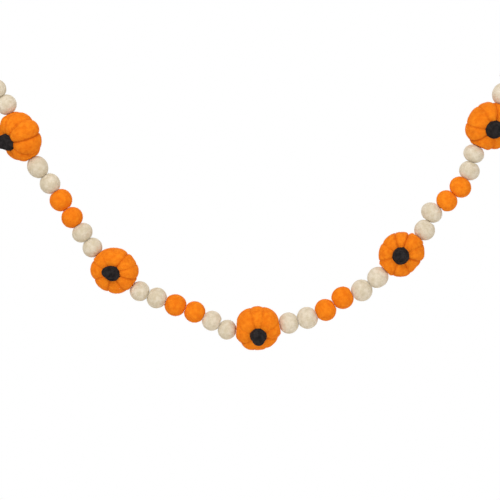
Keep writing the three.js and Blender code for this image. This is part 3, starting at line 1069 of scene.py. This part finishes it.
        lean = Matrix.Rotation(math.radians(bead["lean"]), 4, "Z")
        upright = Matrix.Rotation(math.pi / 2, 4, "Y")
        rise = Matrix.Translation((0, 0, seat.offset))
        stem.data.transform(rise @ facing(bead) @ Matrix.Translation((foot, 0, 0)) @ lean @ upright)
        return stem

    def seat_stem(self, stem, body, bead, seat, sizes):
        """Cuts the stem's foot to the dimple's floor, a gap away from it."""
        cutter = copy_of(body, "stem_cutter")
        outward = (seat.matrix @ facing(bead)).to_3x3() @ Vector((sizes.gap, 0, 0))
        cutter.data.transform(Matrix.Translation(outward))
        cut_away(stem, cutter)

    def pierce(self, body, bead, seat, sizes):
        """Leaves the needle's hole through a pumpkin."""
        deselect()
        bpy.ops.mesh.primitive_cylinder_add(
            vertices=NEEDLE_SIDES, radius=sizes.bore_radius, depth=2 * bead["width"] * MM)
        needle = bpy.context.object
        needle.data.transform(seat.matrix @ Matrix.Rotation(math.pi / 2, 4, "X"))
        cut_away(body, needle)


class GARLAND_OT_fuzz(bpy.types.Operator):
    """Raise loose fibres all over the felt"""

    bl_idname = "garland.fuzz"
    bl_label = "Loose Fibres"

    def execute(self, context):
        sizes = context.scene.garland_fuzz
        colours = context.scene.garland_colours
        for seed, group in enumerate(FUZZ):
            name = group["name"]
            felts = [piece for piece in context.scene.objects
                     if piece.name.startswith("felt_") and piece.data.materials[0].name == group["felt"]]
            if not felts:
                raise RuntimeError(f"{name} needs its felt pieces first")
            wool = loose_wool(name.replace("fuzz", "loose_wool"), colours, group["wool"])
            fibre = self.draw_fibre(sizes, wool)
            fuzz = self.raise_fibres(name, felts, fibre, sizes, seed)
            remove(fibre)
            finish_piece(fuzz, wool, group["slot"], [])
        return {"FINISHED"}

    def draw_fibre(self, sizes, wool):
        """One fibre, three-sided, bent once and drawn to a point."""
        deselect()
        bpy.ops.mesh.primitive_cone_add(
            vertices=3, radius1=sizes.radius, radius2=0, depth=sizes.length, end_fill_type="NGON",
            location=(0, 0, sizes.length / 2))
        fibre = bpy.context.object
        fibre.name = "fibre"
        bpy.ops.object.transform_apply(location=True, rotation=False, scale=False)
        bpy.ops.object.mode_set(mode="EDIT")
        bpy.ops.mesh.select_all(action="SELECT")
        bpy.ops.mesh.bisect(plane_co=(0, 0, sizes.length / 2), plane_no=(0, 0, 1))
        pick_vertices(fibre, lambda co: co.z > sizes.length - SAME)
        bpy.ops.transform.translate(value=(sizes.length * TIP_ASIDE, 0, -sizes.length * TIP_DOWN))
        bpy.ops.object.mode_set(mode="OBJECT")
        fibre.data.materials.append(wool)
        return fibre

    def raise_fibres(self, name, felts, fibre, sizes, seed):
        """Copies of the felts that turn into fibres standing on them at random tilts."""
        pick(*felts)
        bpy.ops.object.duplicate(linked=False)
        copies = list(bpy.context.selected_objects)
        pick(*copies)
        bpy.ops.object.join()
        fuzz = bpy.context.object
        fuzz.name = fuzz.data.name = name
        sort_faces(fuzz)
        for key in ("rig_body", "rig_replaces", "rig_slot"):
            if key in fuzz:
                del fuzz[key]
        tree = bpy.data.node_groups.new(name, "GeometryNodeTree")
        tree.interface.new_socket("Geometry", in_out="INPUT", socket_type="NodeSocketGeometry")
        tree.interface.new_socket("Geometry", in_out="OUTPUT", socket_type="NodeSocketGeometry")
        felt = add_node(tree, "NodeGroupInput")
        per_square_metre = sizes.per_square_cm * 100 ** 2
        spots = add_node(tree, "GeometryNodeDistributePointsOnFaces",
                         values={"Density": per_square_metre, "Seed": seed + SPOT_SEED},
                         links={"Mesh": felt.outputs[0]})
        tilt = add_node(tree, "FunctionNodeRandomValue", {"data_type": "FLOAT_VECTOR"},
                        {0: (-FIBRE_TILT, -FIBRE_TILT, 0), 1: (FIBRE_TILT, FIBRE_TILT, FIBRE_TURN),
                         "Seed": seed + TILT_SEED})
        turned = add_node(tree, "FunctionNodeRotateRotation", {"rotation_space": "LOCAL"},
                          links={0: spots.outputs["Rotation"], 1: tilt.outputs[0]})
        size = add_node(tree, "FunctionNodeRandomValue", {"data_type": "FLOAT"},
                        {2: FIBRE_LEAST, 3: FIBRE_MOST, "Seed": seed + SIZE_SEED})
        shape = add_node(tree, "GeometryNodeObjectInfo", values={"Object": fibre})
        stood = add_node(tree, "GeometryNodeInstanceOnPoints",
                         links={"Points": spots.outputs["Points"], "Instance": shape.outputs["Geometry"],
                                "Rotation": turned.outputs[0], "Scale": size.outputs[1]})
        real = add_node(tree, "GeometryNodeRealizeInstances", links={0: stood.outputs[0]})
        add_node(tree, "NodeGroupOutput", links={0: real.outputs[0]})
        modifier = fuzz.modifiers.new("fibres", "NODES")
        modifier.node_group = tree
        apply_modifiers(fuzz)
        return fuzz


class GARLAND_PT_panel(bpy.types.Panel):
    """The steps and settings of the garland"""

    bl_idname = "GARLAND_PT_panel"
    bl_label = "Felt Ball Garland"
    bl_space_type = "VIEW_3D"
    bl_region_type = "UI"
    bl_category = "Garland"

    def draw(self, context):
        for step in STEPS:
            self.layout.operator(step.bl_idname)
        for name in SETTINGS:
            group = getattr(context.scene, name)
            box = self.layout.box()
            for key in group.__annotations__:
                box.prop(group, key)


STEPS = (GARLAND_OT_stage, GARLAND_OT_string, GARLAND_OT_balls, GARLAND_OT_pumpkins, GARLAND_OT_fuzz)
SETTINGS = {
    "garland_felt": GarlandFelt,
    "garland_fuzz": GarlandFuzz,
    "garland_string": GarlandString,
    "garland_stage": GarlandStage,
    "garland_colours": GarlandColours,
}


def register():
    for group in SETTINGS.values():
        bpy.utils.register_class(group)
    for name, group in SETTINGS.items():
        setattr(bpy.types.Scene, name, bpy.props.PointerProperty(type=group))
    for step in STEPS:
        bpy.utils.register_class(step)
    bpy.utils.register_class(GARLAND_PT_panel)


def unregister():
    bpy.utils.unregister_class(GARLAND_PT_panel)
    for step in reversed(STEPS):
        bpy.utils.unregister_class(step)
    for name, group in SETTINGS.items():
        delattr(bpy.types.Scene, name)
        bpy.utils.unregister_class(group)


def main():
    register()
    bpy.ops.garland.stage()
    bpy.ops.garland.string()
    bpy.ops.garland.balls()
    bpy.ops.garland.pumpkins()
    bpy.ops.garland.fuzz()


if __name__ == "__main__":
    main()
